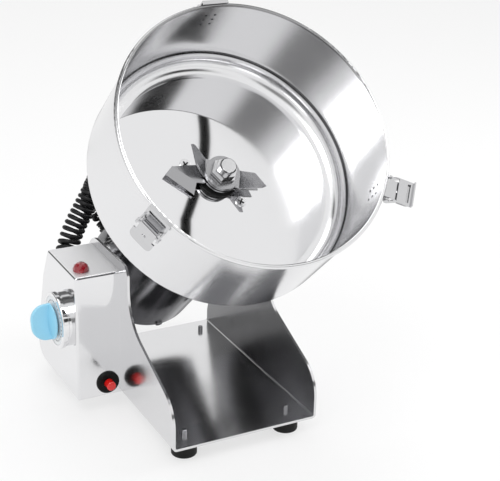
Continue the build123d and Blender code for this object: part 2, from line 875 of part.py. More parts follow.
def jam_nut():
    low = stack("jam_nut")
    nut = hexagon(jam_nut_hex, low, low + jam_nut_height)
    return nut - cylinder(thread_radius + fit, low - 1, low + jam_nut_height + 1)


def cap_nut():
    low, cap_low = stack("cap_nut"), stack("cap")
    cap = cylinder(cap_radius, cap_low - 0.1, cap_low + cap_height)
    cap = chamfer(cap.edges().sort_by(Axis.Z)[-1], 1.2)
    nut = hexagon(cap_nut_hex, low, cap_low) + cap
    return nut - cylinder(thread_radius + fit, low - 1, cap_low + cap_height - cap_wall + fit)


# ---- latches, drawn on the wall: x along the wall, y out from it, z above the bowl's bottom

def on_wall(shape, angle):
    return Rot(0, 0, angle - 90) * Pos(0, bowl_radius, bowl_bottom) * shape


def cross_pin(y, z, radius, half):
    return Pos(0, y, z) * Rot(0, 90, 0) * Cylinder(radius, 2 * half)


def swing(shape, y, z, angle):
    return Pos(0, y, z) * Rot(angle, 0, 0) * Pos(0, -y, -z) * shape


def latch_bracket():
    plate = block((-bracket_half, -4, bracket_low), (bracket_half, latch_sheet, bracket_high))
    strip = block((-1, -1, latch_pin_z - ear_radius), (1, latch_pin_y, latch_pin_z + ear_radius))
    ear = strip + Pos(0, latch_pin_y, latch_pin_z) * Rot(0, 90, 0) * Cylinder(ear_radius, 2)
    ear = ear & block((-latch_sheet / 2, -bracket_half, 0), (latch_sheet / 2, bracket_half, bowl_height))
    middle = ear_half - latch_sheet / 2
    bracket = plate + Pos(middle, 0, 0) * ear + Pos(-middle, 0, 0) * ear
    bracket -= cross_pin(latch_pin_y, latch_pin_z, latch_pin_radius + fit, 2 * bracket_half)
    return bracket - Pos(0, -bowl_radius, 0) * cylinder(bowl_radius, 0, bowl_height)


def cheek_half():
    return ear_half - latch_sheet - latch_gap


def hook_half():
    return ear_half + 3 * latch_gap + latch_sheet


def latch_pin():
    return cross_pin(latch_pin_y, latch_pin_z, latch_pin_radius, ear_half + 2 * latch_gap)


def latch_lever():
    back = lever_y + latch_sheet
    top = latch_pin_z + cheek_margin
    near, low = latch_pin_y - cheek_margin, hook_pin_z - cheek_margin
    cheek_face = outline([(near, top), (near, latch_pin_z - cheek_margin), (near + cheek_margin, low), (back, low), (back, top)],
                         [cheek_margin * 0.9, cheek_margin * 0.7, cheek_margin * 0.5, 0, 0])
    lever = extrude_x(cheek_face, cheek_half() - latch_sheet, cheek_half())
    lever += extrude_x(cheek_face, -cheek_half(), latch_sheet - cheek_half())
    lever += block((-cheek_half(), lever_y, tab_shoulder - 1), (cheek_half(), back, top))
    lever += block((-tab_half, lever_y, tab_crease), (tab_half, back, tab_shoulder))
    lip = block((-tab_half, lever_y, tab_tip), (tab_half, back, tab_crease))
    lip = fillet(lip.edges().filter_by(Axis.Y).sort_by(Axis.Z)[:2], tab_corner)
    lever += swing(lip, back, tab_crease, tab_lean)
    lever += Pos(0, lever_y + latch_sheet / 2, tab_crease) * Rot(0, 90, 0) * Cylinder(latch_sheet / 2, 2 * tab_half)
    lever += Pos(0, back - 0.1, rivet_z) * Rot(-90, 0, 0) * cylinder(rivet_radius, 0, rivet_height + 0.1)
    lever -= cross_pin(latch_pin_y, latch_pin_z, latch_pin_radius + running, cheek_half() + 1)
    stub = cross_pin(hook_pin_y, hook_pin_z, latch_pin_radius, hook_half() + latch_gap + hook_pin_head)
    heads = cross_pin(hook_pin_y, hook_pin_z, 2 * latch_pin_radius, hook_half() + latch_gap + hook_pin_head)
    heads -= cross_pin(hook_pin_y, hook_pin_z, 3 * latch_pin_radius, hook_half() + latch_gap)
    inner = cheek_half() - latch_sheet
    stub -= block((-inner, 0, 0), (inner, 3 * hook_pin_y, bowl_height))
    return lever + stub + heads


def latch_hook():
    front = hook_y + latch_sheet
    half, y, z = hook_half(), hook_pin_y, hook_pin_z
    arm = outline([(y - hook_boss, z - hook_boss), (y + hook_boss, z - hook_boss), (y + hook_boss, z + hook_boss),
                   (front, hook_plate_low + 1), (hook_y, hook_plate_low + 1), (hook_y, hook_plate_low - hook_root),
                   (y - hook_boss, z + hook_boss)],
                  [hook_boss * 0.9, hook_boss * 0.9, hook_boss * 0.5, 0, 0, hook_boss * 0.3, hook_boss * 0.3])
    hook = extrude_x(arm, half - latch_sheet, half) + extrude_x(arm, -half, latch_sheet - half)
    hook += block((-half, hook_y, hook_plate_low), (half, front, hook_under + latch_sheet))
    hook += block((-half, hook_y - hook_lip, hook_under), (half, front, hook_under + latch_sheet))
    hook -= block((-hook_slit_half, hook_y - 1, hook_slit_low), (hook_slit_half, front + 1, hook_slit_high))
    return hook - cross_pin(y, z, latch_pin_radius + running, 2 * half)


def opened_hook(angle):
    # the lever carries the hook's pins round its own pin, and the hook swings the other way as far
    pins = swing(Pos(0, hook_pin_y, hook_pin_z), latch_pin_y, latch_pin_z, angle).position
    leaning = swing(latch_hook(), hook_pin_y, hook_pin_z, -angle)
    return Pos(0, pins.Y - hook_pin_y, pins.Z - hook_pin_z) * leaning


# ---- curly cord: one fat tube from the box's gland, up behind the bowl and down to the motor's cover

def cord_points():
    start = cord_gland_place() * Pos(0, 0, gland_length)
    end = in_head(motor_gland_place()) * Pos(0, 0, gland_length)
    rise = [start.position + Vector(*step) for step in cord_rise]
    fall = [end.position + Vector(*step) for step in cord_fall]
    run_out, run_in = (start * Pos(0, 0, cord_run_out)).position, (end * Pos(0, 0, cord_run_in)).position
    return [start.position, run_out, *rise, *fall, run_in, end.position]


def cord_radii(points):
    radii = []
    for before, corner, after in zip(points, points[1:], points[2:]):
        run_in, run_out = corner - before, after - corner
        turn = run_in.get_angle(run_out)
        radii.append(0.45 * min(run_in.length, run_out.length) / tan(radians(turn / 2)))
    return radii


def curly_cord():
    points = cord_points()
    radii = cord_radii(points)
    path = FilletPolyline(*points, radius=radii)
    section = Plane(path @ 0, z_dir=path % 0) * Circle(cord_radius)
    cord = sweep(section, path=path)
    print("cord radii", [round(radius, 1) for radius in radii])
    print("cord length", round(path.length, 1), "volume over section times length",
          round(cord.volume / (path.length * 3.14159265 * cord_radius ** 2), 4))
    return cord


# ---- write every node

def export_stand():
    export("stand_frame", stand_frame())
    feet = {"rubber_feet": rubber_foot(), "foot_washers": foot_washer(), "foot_screws": foot_screw()}
    for name, piece in feet.items():
        export(name, solids([Pos(x, y, 0) * piece for x, y in foot_places()]))
    export("pivot_bushes", solids([pivot_bush(side) for side in (-1, 1)]))
    export("control_box_shell", control_box_shell())
    export("control_box_screws", solids(control_box_screws()))
    export("timer_bezel", timer_bezel())
    export("timer_dial", timer_dial())
    export("timer_body", timer_body())
    export("timer_knob", timer_knob())
    export("lamp_lens", lamp_lens())
    export("lamp_body", lamp_body())
    export("switch_collar", switch_collar())
    export("switch_body", switch_body())
    export("reset_button", reset_button())
    export("terminal_block", terminal_block())
    export("mains_gland", mains_gland_place() * gland(box_sheet))
    export("box_cord_gland", cord_gland_place() * gland(box_sheet))
    export("curly_cord", curly_cord())


def export_head():
    head = {
        "bowl": [bowl()], "bowl_corner_ring": [bowl_corner_ring()], "floor_screws": floor_screws(),
        "motor_housing": [motor_housing()], "bottom_cover": [bottom_cover()], "cover_screws": cover_screws(),
        "trunnion_bosses": [trunnion_boss(side) for side in (-1, 1)],
        "pivot_bolts": [pivot_bolt(side) for side in (-1, 1)],
        "motor_cord_gland": [motor_gland()],
        "end_plate": [end_plate()], "upper_bearing": [upper_bearing()], "shaft_seal": [shaft_seal()],
        "lower_bracket": [lower_bracket()], "lower_bearing": [lower_bearing()],
        "stator_core": [stator_core()], "stator_coils": stator_coils(),
        "brush_holders": both_sides(brush_holder()), "carbon_brushes": both_sides(carbon_brush()),
        "brush_springs": both_sides(brush_spring()),
        "latch_brackets": [on_wall(latch_bracket(), angle) for angle in latch_angles],
        "latch_pins": [on_wall(latch_pin(), angle) for angle in latch_angles],
    }
    rotor = {
        "rotor_shaft": [rotor_shaft()], "armature_core": [armature_core()],
        "armature_windings": armature_windings(), "commutator": [commutator()], "cooling_fan": [cooling_fan()],
        "slinger": [stack_ring("slinger", slinger_radius, slinger_height, upper_shaft_radius)],
        "blade_spacers": [stack_ring("spacer", spacer_radius, spacer_height, upper_shaft_radius),
                          stack_ring("washer", washer_radius, washer_height, thread_radius)],
        "lower_blade": [lower_blade()],
        "upper_blade": [upper_blade()],
        "cup_washer": [stack_ring("cup_washer", cup_washer_radius, cup_washer_height, thread_radius)],
        "jam_nut": [jam_nut()], "cap_nut": [cap_nut()],
    }
    for name, pieces in {**head, **rotor}.items():
        export(name, solids([in_head(piece) for piece in pieces]))


def export_latches():
    for n, (angle, opening) in enumerate(zip(latch_angles, latch_open), start=1):
        lever = swing(latch_lever(), latch_pin_y, latch_pin_z, opening)
        export(f"latch_lever_{n}", in_head(on_wall(lever, angle)))
        export(f"latch_hook_{n}", in_head(on_wall(opened_hook(opening), angle)))


os.makedirs("parts", exist_ok=True)
export_stand()
export_head()
export_latches()
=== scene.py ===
import math
import bmesh
import bpy
import numpy as np
from mathutils import Matrix, Vector


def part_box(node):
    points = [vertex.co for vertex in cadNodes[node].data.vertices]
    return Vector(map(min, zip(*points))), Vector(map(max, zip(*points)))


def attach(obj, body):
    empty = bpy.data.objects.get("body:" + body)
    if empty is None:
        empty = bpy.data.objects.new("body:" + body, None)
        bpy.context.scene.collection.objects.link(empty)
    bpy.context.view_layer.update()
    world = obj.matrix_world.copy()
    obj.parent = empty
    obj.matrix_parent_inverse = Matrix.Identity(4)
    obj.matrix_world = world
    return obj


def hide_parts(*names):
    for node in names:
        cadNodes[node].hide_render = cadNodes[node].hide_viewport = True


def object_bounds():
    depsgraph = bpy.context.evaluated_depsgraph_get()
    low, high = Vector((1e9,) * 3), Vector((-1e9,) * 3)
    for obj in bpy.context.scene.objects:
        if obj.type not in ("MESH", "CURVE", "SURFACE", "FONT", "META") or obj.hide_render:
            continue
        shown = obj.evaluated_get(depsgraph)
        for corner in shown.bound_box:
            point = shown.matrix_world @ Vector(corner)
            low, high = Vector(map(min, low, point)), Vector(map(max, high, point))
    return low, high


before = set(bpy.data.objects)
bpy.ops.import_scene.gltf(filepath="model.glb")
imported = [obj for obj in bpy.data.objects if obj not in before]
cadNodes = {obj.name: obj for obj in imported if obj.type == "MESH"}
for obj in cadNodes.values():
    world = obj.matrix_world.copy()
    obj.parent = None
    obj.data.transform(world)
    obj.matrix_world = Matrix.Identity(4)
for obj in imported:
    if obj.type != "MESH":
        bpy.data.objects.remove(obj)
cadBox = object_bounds()

# the tilting head: its pivot, the motor's axis towards the bowl's mouth, and up the tilted bowl
headTilt = math.radians(47.5)
pivot = np.array([0.0, 0.075, 0.1215])
headAxis = np.array([0.0, -math.sin(headTilt), math.cos(headTilt)])
headUp = np.array([0.0, math.cos(headTilt), math.sin(headTilt)])


# camera

cameraSettings = {
    "place": (-0.50632, -1.06519, 0.63719),
    "yaw": 28.1005,      # degrees, turned right from +Y
    "pitch": 22.1643,    # degrees, looking down
    "roll": 1.5265,
    "lens": 92.993,
}


def makeCamera(settings):
    yaw, pitch, roll = (math.radians(settings[k]) for k in ("yaw", "pitch", "roll"))
    level = Vector((math.cos(yaw), -math.sin(yaw), 0))
    ahead = Vector((math.sin(yaw) * math.cos(pitch), math.cos(yaw) * math.cos(pitch), -math.sin(pitch)))
    upright = level.cross(ahead)
    right = math.cos(roll) * level + math.sin(roll) * upright
    up = -math.sin(roll) * level + math.cos(roll) * upright
    data = bpy.data.cameras.new("camera")
    data.lens = settings["lens"]
    data.sensor_width = 36
    camera = bpy.data.objects.new("camera", data)
    axes = Matrix((right, up, -ahead)).transposed().to_4x4()
    camera.matrix_world = Matrix.Translation(settings["place"]) @ axes
    bpy.context.collection.objects.link(camera)
    bpy.context.scene.camera = camera


makeCamera(cameraSettings)
print("camera ready")


# small tools for pieces and materials

def addPiece(name, points, faces, body, smooth=True):
    mesh = bpy.data.meshes.new(name)
    mesh.from_pydata(np.asarray(points).tolist(), [], [list(f) for f in faces])
    mesh.update()
    piece = bpy.data.objects.new(name, mesh)
    bpy.context.collection.objects.link(piece)
    mesh.polygons.foreach_set("use_smooth", [smooth] * len(mesh.polygons))
    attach(piece, body)
    return piece


def gridFaces(rows, columns):
    # quads between neighbouring rows of a grid whose columns close into a ring
    r, c = np.meshgrid(np.arange(rows - 1), np.arange(columns), indexing="ij")
    a = r * columns + c
    b = r * columns + (c + 1) % columns
    return np.stack([a, b, b + columns, a + columns], -1).reshape(-1, 4)


def newMaterial(name, color, roughness, metallic=0.0, **more):
    material = bpy.data.materials.new(name)
    material.use_nodes = True
    shader = material.node_tree.nodes["Principled BSDF"]
    shader.inputs["Base Color"].default_value = (*color, 1)
    shader.inputs["Roughness"].default_value = roughness
    shader.inputs["Metallic"].default_value = metallic
    for socket, value in more.items():
        shader.inputs[socket].default_value = value
    return material


def addNode(material, kind, **settings):
    node = material.node_tree.nodes.new(kind)
    for key, value in settings.items():
        setattr(node, key, value)
    return node


def join(material, start, end):
    material.node_tree.links.new(start, end)


def shaderOf(material):
    return material.node_tree.nodes["Principled BSDF"]


def objectPoint(material, scale=(1, 1, 1)):
    place = addNode(material, "ShaderNodeTexCoord")
    mapping = addNode(material, "ShaderNodeMapping")
    mapping.inputs["Scale"].default_value = scale
    join(material, place.outputs["Object"], mapping.inputs["Vector"])
    return mapping.outputs["Vector"]


def noiseAt(material, vector, scale, detail=3.0, roughness=0.5):
    noise = addNode(material, "ShaderNodeTexNoise")
    noise.inputs["Scale"].default_value = scale
    noise.inputs["Detail"].default_value = detail
    noise.inputs["Roughness"].default_value = roughness
    join(material, vector, noise.inputs["Vector"])
    return noise.outputs["Fac"]


def spread(material, value, low, high, fromLow=0.3, fromHigh=0.7):
    ramp = addNode(material, "ShaderNodeMapRange")
    for socket, limit in zip(("From Min", "From Max", "To Min", "To Max"), (fromLow, fromHigh, low, high)):
        ramp.inputs[socket].default_value = limit
    join(material, value, ramp.inputs["Value"])
    return ramp.outputs["Result"]


def mixColors(material, value, first, second):
    mix = addNode(material, "ShaderNodeMix", data_type="RGBA")
    mix.inputs[6].default_value = (*first, 1)
    mix.inputs[7].default_value = (*second, 1)
    join(material, value, mix.inputs[0])
    return mix.outputs[2]


def addBump(material, height, strength, distance):
    bump = addNode(material, "ShaderNodeBump")
    bump.inputs["Strength"].default_value = strength
    bump.inputs["Distance"].default_value = distance
    join(material, height, bump.inputs["Height"])
    join(material, bump.outputs["Normal"], shaderOf(material).inputs["Normal"])
    return bump


def feed(material, node, *values):
    # each value is a number, a vector or another node's output
    for socket, value in zip(node.inputs, values):
        if isinstance(value, bpy.types.NodeSocket):
            join(material, value, socket)
        else:
            socket.default_value = value


def vectorMath(material, operation, *values):
    node = addNode(material, "ShaderNodeVectorMath", operation=operation)
    feed(material, node, *values)
    return node.outputs["Value" if operation == "LENGTH" else "Vector"]


def number(material, operation, first, second=0.0, clamp=False):
    node = addNode(material, "ShaderNodeMath", operation=operation, use_clamp=clamp)
    feed(material, node, first, second)
    return node.outputs[0]


def separate(material, vector):
    parts = addNode(material, "ShaderNodeSeparateXYZ")
    join(material, vector, parts.inputs[0])
    return [parts.outputs[axis] for axis in "XYZ"]


def band(material, value, low, high, soft):
    # 1 between low and high, easing to 0 over the soft width outside them
    rise = spread(material, value, 0.0, 1.0, low - soft, low)
    fall = spread(material, value, 1.0, 0.0, high, high + soft)
    return number(material, "MULTIPLY", rise, fall)


# finishes: color, roughness, then the stretch and scale of the fine lines and the strength of their bump

steelFinish = {
    "sheet": (0.74, 0.74, 0.75),
    "polished": (0.80, 0.80, 0.81),
    "sheetRoughness": (0.13, 0.24),
    "bowlRoughness": (0.12, 0.20),
    "lineScale": 900.0,
}


def brushedSteel(name, color, roughness, lines, scale=steelFinish["lineScale"], bump=0.05):
    # fine lines: noise whose coordinates are stretched along one direction
    material = newMaterial(name, color, roughness[0], 1.0)
    fine = noiseAt(material, objectPoint(material, lines), scale, 4.0, 0.6)
    broad = noiseAt(material, objectPoint(material), 14.0, 3.0)
    both = number(material, "MULTIPLY", number(material, "ADD", fine, broad), 0.5)
    join(material, spread(material, both, *roughness), shaderOf(material).inputs["Roughness"])
    addBump(material, fine, bump, 0.00005)
    return material


boxTop = {"roughness": 0.40, "upward": (0.90, 0.99)}     # matt where the surface faces up this far


def shellSteel(name, color, roughness, top):
    # polished sides and a matt top
    material = brushedSteel(name, color, roughness, (1, 0.05, 1), 500.0, 0.02)
    upward = separate(material, addNode(material, "ShaderNodeNewGeometry").outputs["Normal"])[2]
    socket = shaderOf(material).inputs["Roughness"]
    matt = spread(material, upward, 0.0, top["roughness"], *top["upward"])
    join(material, number(material, "ADD", socket.links[0].from_socket, matt), socket)
    return material


def headPlace(material):
    # the way from the pivot to the point, its x, y and z once the head is upright, and how far it is from
    # the motor's axis
    outward = vectorMath(material, "SUBTRACT", objectPoint(material), tuple(pivot))
    turned = addNode(material, "ShaderNodeMapping", vector_type="POINT")
    turned.inputs["Rotation"].default_value = (-headTilt, 0, 0)
    join(material, outward, turned.inputs["Vector"])
    upright = turned.outputs["Vector"]
    radius = vectorMath(material, "LENGTH", vectorMath(material, "MULTIPLY", upright, (1, 1, 0)))
    return outward, separate(material, upright), radius


def darken(material, color, amount, dark):
    join(material, mixColors(material, amount, color, dark), shaderOf(material).inputs["Base Color"])


bowlInside = {                     # heights and radii in the upright head's frame
    "floor": (0.1680, 0.1700),     # heights of the polished floor
    "edge": (0.112, 0.120),        # radii over which the polish ends
    "roughness": (0.02, 0.13),     # of the floor, at the two places across it that follow
    "across": (0.012, 0.045),
    "wall": (0.1225, 0.1241),      # radii of the wall's inner face
    "foot": (0.1872, 0.1902),      # heights of the painted shade line round the wall's foot
    "footShadeDepth": 0.9,
    "rim": (0.2690, 0.2700),       # heights over which the painted shade on the rim comes in
    "back": (-0.03, 0.05),         # from the bowl's front half to its back half, where the rim's painted shade lies
    "rimShadeDepth": 0.6,
    # colour of the painted shade at the wall's foot and on the rim
    "dark": (0.04, 0.04, 0.042),
    "bump": 0.03,                  # of the wall's fine rings; the floor has none
}


def turnedSteel(name, color, roughness, anisotropy, inside=None):
    # brushed round the head's axis: its grain runs along axis x (point - pivot); inside holds the finish of
    # the bowl's polished floor, and the painted shade: a dark line at the wall's foot and on the rim's back
    # half
    material = newMaterial(name, color, roughness[0], 1.0, Anisotropic=anisotropy)
    outward, (x, y, z), radius = headPlace(material)
    around = vectorMath(material, "CROSS_PRODUCT", tuple(headAxis), outward)
    join(material, vectorMath(material, "NORMALIZE", around), shaderOf(material).inputs["Tangent"])
    rings = addNode(material, "ShaderNodeCombineXYZ")
    join(material, radius, rings.inputs["X"])
    join(material, z, rings.inputs["Y"])
    fine = noiseAt(material, rings.outputs["Vector"], 1300.0, 3.0, 0.6)
    broad = noiseAt(material, objectPoint(material), 22.0, 3.0)
    rough = spread(material, number(material, "ADD", fine, broad), *roughness, 0.7, 1.3)
    bump = addBump(material, fine, 0.03, 0.00004)
    if inside:
        polished = number(material, "MULTIPLY", band(material, z, *inside["floor"], 0.0004),
                          spread(material, radius, 1.0, 0.0, *inside["edge"]))
        keep = number(material, "SUBTRACT", 1.0, polished)
        smooth = spread(material, x, *inside["roughness"], *inside["across"])
        rough = number(material, "ADD", number(material, "MULTIPLY", rough, keep),
                       number(material, "MULTIPLY", polished, smooth))
        join(material, number(material, "MULTIPLY", keep, inside["bump"]), bump.inputs["Strength"])
        # painted shade: a dark line round the wall's foot, just above the floor's corner ring
        foot = number(material, "MULTIPLY", band(material, radius, *inside["wall"], 0.0004),
                      band(material, z, *inside["foot"], 0.0012))
        # painted shade over the rim on the bowl's back half
        rim = number(material, "MULTIPLY", spread(material, z, 0.0, inside["rimShadeDepth"], *inside["rim"]),
                     spread(material, y, 0.0, 1.0, *inside["back"]))
        line = number(material, "MULTIPLY", foot, inside["footShadeDepth"])
        darken(material, color, number(material, "ADD", line, rim, clamp=True), inside["dark"])
    join(material, rough, shaderOf(material).inputs["Roughness"])
    return material


shadeLineColor = (0.02, 0.02, 0.02)      # painted shade in the gaps between stacked parts and in the screws' cross slots
# depth: how dark the painted shade lines are
nutGrooves = {"heights": (0.1850, 0.1884, 0.1933, 0.1993), "half": 0.0004, "depth": 0.9}


def groovedSteel(name, color, roughness, grooves):
    # turned parts stacked on the motor's axis, with painted shade: thin dark lines where one part meets the
    # next
    material = brushedSteel(name, color, roughness, (1, 1, 1), 400.0, 0.05)
    z = headPlace(material)[1][2]
    dark = number(material, "ADD", 0.0)
    for height in grooves["heights"]:
        line = band(material, z, height - grooves["half"], height + grooves["half"], 0.0001)
        dark = number(material, "MAXIMUM", dark, line)
    darken(material, color, number(material, "MULTIPLY", dark, grooves["depth"]), shadeLineColor)
    return material


screwCrosses = {
    # each screw's place across the bowl's floor, and how far its cross is turned
    "places": [((-0.02761, 0.01898), 0.4), ((0.01568, -0.02558), 0.9)],
    "half": 0.0006,
    "reach": 0.0031,
}


def turnedSum(material, x, y, turn):
    # x cos turn + y sin turn
    return number(material, "ADD", number(material, "MULTIPLY", x, math.cos(turn)),
                  number(material, "MULTIPLY", y, math.sin(turn)))


def crossSteel(name, color, roughness, crosses):
    # screw heads with the cross slot as painted shade: a dark cross, each a pair of bars centred on its screw
    # and turned by an angle
    material = brushedSteel(name, color, roughness, (1, 1, 1), 800.0, 0.05)
    x, y = headPlace(material)[1][:2]
    dark = number(material, "ADD", 0.0)
    # painted shade of each screw's recessed cross slot
    for (middleX, middleY), turn in crosses["places"]:
        dx, dy = number(material, "SUBTRACT", x, middleX), number(material, "SUBTRACT", y, middleY)
        along, beside = (turnedSum(material, dx, dy, turn + quarter) for quarter in (0, math.pi / 2))
        for one, other in ((along, beside), (beside, along)):
            bar = number(material, "MULTIPLY", band(material, one, -crosses["half"], crosses["half"], 0.0002),
                         band(material, other, -crosses["reach"], crosses["reach"], 0.0003))
            dark = number(material, "MAXIMUM", dark, bar)
    darken(material, color, dark, shadeLineColor)
    return material


def plainPlastic(name, color, roughness, grain=2500.0, bump=0.06, coat=0.0, shine=0.5):
    material = newMaterial(name, color, roughness)
    sockets = shaderOf(material).inputs
    sockets["Specular IOR Level"].default_value = shine
    if coat:
        sockets["Coat Weight"].default_value = coat
        sockets["Coat Roughness"].default_value = 0.05
    fine = noiseAt(material, objectPoint(material), grain, 2.0)
    join(material, spread(material, fine, roughness * 0.85, roughness * 1.15), sockets["Roughness"])
    addBump(material, fine, bump, 0.00008)
    return material


def lampGlass(name, darkRed, lightRed):
    # clear red with cloudy depths
    material = newMaterial(name, darkRed, 0.08, IOR=1.5)
    sockets = shaderOf(material).inputs
    sockets["Coat Weight"].default_value = 1.0
    sockets["Coat Roughness"].default_value = 0.03
    glow = noiseAt(material, objectPoint(material), 160.0, 1.0)
    join(material, mixColors(material, glow, darkRed, lightRed), sockets["Base Color"])
    return material


def dress(material, *names):
    for name in names:
        for slot in cadNodes[name].material_slots:
            slot.material = material


sheetSteel = brushedSteel("sheetSteel", steelFinish["sheet"], steelFinish["sheetRoughness"], (0.04, 1, 0.04))
boxSteel = shellSteel("boxSteel", steelFinish["polished"], (0.07, 0.14), boxTop)
latchSteel = brushedSteel("latchSteel", (0.62, 0.62, 0.63), (0.05, 0.12), (1, 1, 1), 600.0, 0.03)
bladeSteel = brushedSteel("bladeSteel", (0.40, 0.40, 0.41), (0.16, 0.30), (1, 0.2, 1), 700.0, 0.12)
nutSteel = groovedSteel("nutSteel", (0.72, 0.72, 0.73), (0.05, 0.14), nutGrooves)
crossedSteel = crossSteel("crossedSteel", (0.80, 0.80, 0.81), (0.1, 0.2), screwCrosses)
fastenerSteel = brushedSteel("fastenerSteel", (0.30, 0.30, 0.31), (0.12, 0.24), (1, 1, 1), 800.0, 0.05)
bowlSteel = turnedSteel("bowlSteel", steelFinish["polished"], steelFinish["bowlRoughness"], 0.5, bowlInside)
# the housing is polished stainless like the bowl; its dark colour is a painted dark reflection
housingSteel = turnedSteel("housingSteel", (0.24, 0.24, 0.25), (0.10, 0.18), 0.35)
burntSteel = brushedSteel("burntSteel", (0.05, 0.05, 0.055), (0.35, 0.5), (1, 1, 1), 900.0, 0.1)
machinedSteel = brushedSteel("machinedSteel", (0.55, 0.55, 0.56), (0.25, 0.4), (1, 1, 1), 900.0, 0.05)
castAluminium = brushedSteel("castAluminium", (0.66, 0.67, 0.68), (0.45, 0.6), (1, 1, 1), 300.0, 0.3)
laminatedIron = brushedSteel("laminatedIron", (0.16, 0.16, 0.17), (0.4, 0.55), (0.05, 1, 1), 700.0, 0.3)
copperWire = brushedSteel("copperWire", (0.55, 0.22, 0.1), (0.3, 0.45), (0.1, 1, 1), 900.0, 0.4)
blackPlastic = plainPlastic("blackPlastic", (0.008, 0.008, 0.009), 0.4, shine=0.3)
collarPlastic = plainPlastic("collarPlastic", (0.004, 0.004, 0.004), 0.4, shine=0.15)
whitePlastic = plainPlastic("whitePlastic", (0.78, 0.78, 0.74), 0.4)
redPlastic = plainPlastic("redPlastic", (0.72, 0.012, 0.01), 0.22, coat=0.5)
bluePlastic = plainPlastic("bluePlastic", (0.30, 0.66, 0.86), 0.35, coat=0.5)
blackRubber = plainPlastic("blackRubber", (0.008, 0.008, 0.008), 0.6, 900.0, 0.2, shine=0.25)
cordRubber = plainPlastic("cordRubber", (0.005, 0.005, 0.006), 0.42, 1500.0, 0.1, shine=0.3)
dialWhite = plainPlastic("dialWhite", (0.84, 0.84, 0.84), 0.25, coat=0.3)
bezelChrome = brushedSteel("bezelChrome", (0.82, 0.82, 0.83), (0.05, 0.12), (1, 1, 1), 500.0, 0.02)
lampRed = lampGlass("lampRed", (0.12, 0.001, 0.004), (0.42, 0.006, 0.02))

dress(sheetSteel, "stand_frame")
dress(boxSteel, "control_box_shell")
dress(bowlSteel, "bowl", "bowl_corner_ring")
dress(housingSteel, "motor_housing", "bottom_cover")
dress(latchSteel, "latch_brackets", *[f"latch_{kind}_{n}" for kind in ("lever", "hook") for n in (1, 2, 3)])
dress(bladeSteel, "upper_blade", "lower_blade", "cup_washer")
dress(nutSteel, "jam_nut", "cap_nut", "blade_spacers")
dress(crossedSteel, "floor_screws")
dress(fastenerSteel, "foot_screws", "foot_washers", "control_box_screws", "cover_screws")
dress(fastenerSteel, "pivot_bolts", "latch_pins")
dress(machinedSteel, "rotor_shaft", "upper_bearing", "lower_bearing", "trunnion_bosses", "brush_springs")
dress(castAluminium, "end_plate", "lower_bracket")
dress(laminatedIron, "stator_core", "armature_core")
dress(copperWire, "stator_coils", "armature_windings", "commutator")
dress(blackPlastic, "switch_body", "timer_body", "lamp_body", "cooling_fan", "brush_holders")
dress(blackPlastic, "carbon_brushes", "pivot_bushes", "mains_gland", "box_cord_gland", "motor_cord_gland")
dress(collarPlastic, "switch_collar")
dress(whitePlastic, "terminal_block")
dress(redPlastic, "reset_button")
dress(bluePlastic, "timer_knob")
dress(blackRubber, "rubber_feet", "shaft_seal", "slinger")
dress(dialWhite, "timer_dial")
dress(bezelChrome, "timer_bezel")
print("finishes ready")


# curly cord between the control box and the motor

curlyCord = {
    "boxMouth": (-0.08750, 0.11553, 0.08502),     # of the box's gland
    "boxSlope": 16.25,       # degrees by which that gland points up from straight back
    "motorTurn": 120.0,      # of the motor's gland, degrees round the motor
    "motorReach": (0.070, -0.060),                # its mouth, from the motor's axis and along it
    "runOut": 0.013,         # straight, from each gland
    "runIn": 0.018,
    "rise": [                # corners after the box's gland, in mm from its mouth
        (2.0, 22.3, 12.0), (9.5, 30.5, 27.0), (17.0, 31.5, 44.5), (28.5, 31.5, 64.0),
        (41.0, 32.0, 85.0), (52.5, 33.5, 105.0), (63.5, 39.5, 123.5), (73.5, 62.5, 129.0),
    ],
    "fall": [                # corners before the motor's gland, in mm from its mouth
        (23.0, 39.8, 78.3), (22.0, 45.8, 57.3), (15.5, 41.3, 37.3), (1.5, 30.8, 23.3),
    ],
    "wire": 0.0046,          # the cable's own diameter
    "coil": 0.0246,          # outside diameter of the turns
    "spacing": 1.3,          # of neighbouring turns on the inside of a bend, in cable diameters
    "pointsPerTurn": 18,
    "lead": 0.010,           # from the gland to the first full turn
    "bendWindow": 61,        # points over which the bend is evened out
}


def cordRoute(settings):
    # straight out of the box's gland, over the listed corners, and straight into the motor's gland
    slope, turn = math.radians(settings["boxSlope"]), math.radians(settings["motorTurn"])
    start = np.array(settings["boxMouth"])
    away = np.array([0, math.cos(slope), math.sin(slope)])
    out = math.cos(turn) * np.array([1.0, 0, 0]) + math.sin(turn) * headUp
    across, along = settings["motorReach"]
    end = pivot + across * out + along * headAxis
    rise, fall = (np.array(settings[part]) / 1000 for part in ("rise", "fall"))
    route = np.r_[[start, start + settings["runOut"] * away], start + rise, end + fall,
                  [end + settings["runIn"] * out, end]]
    return np.round(route, 5)     # to a hundredth of a millimetre


def smoothLine(points):
    # the points that a second-degree NURBS spline through the route's control points gives
    data = bpy.data.curves.new("cordRoute", "CURVE")
    data.dimensions = "3D"
    spline = data.splines.new("NURBS")
    spline.points.add(len(points) - 1)
    spline.points.foreach_set("co", np.c_[points, np.ones(len(points))].ravel())
    spline.order_u = 3
    spline.use_endpoint_u = True
    spline.resolution_u = 16
    route = bpy.data.objects.new("cordRoute", data)
    bpy.context.collection.objects.link(route)
    mesh = bpy.data.meshes.new_from_object(route)
    line = np.zeros(len(mesh.vertices) * 3)
    mesh.vertices.foreach_get("co", line)
    bpy.data.objects.remove(route)
    bpy.data.curves.remove(data)
    bpy.data.meshes.remove(mesh)
    return line.reshape(-1, 3)


def alongLine(line, step):
    # the line's points again, evenly spaced
    run = np.r_[0, np.cumsum(np.linalg.norm(np.diff(line, axis=0), axis=1))]
    at = np.linspace(0, run[-1], int(run[-1] / step))
    return np.stack([np.interp(at, run, line[:, k]) for k in range(3)], -1), at


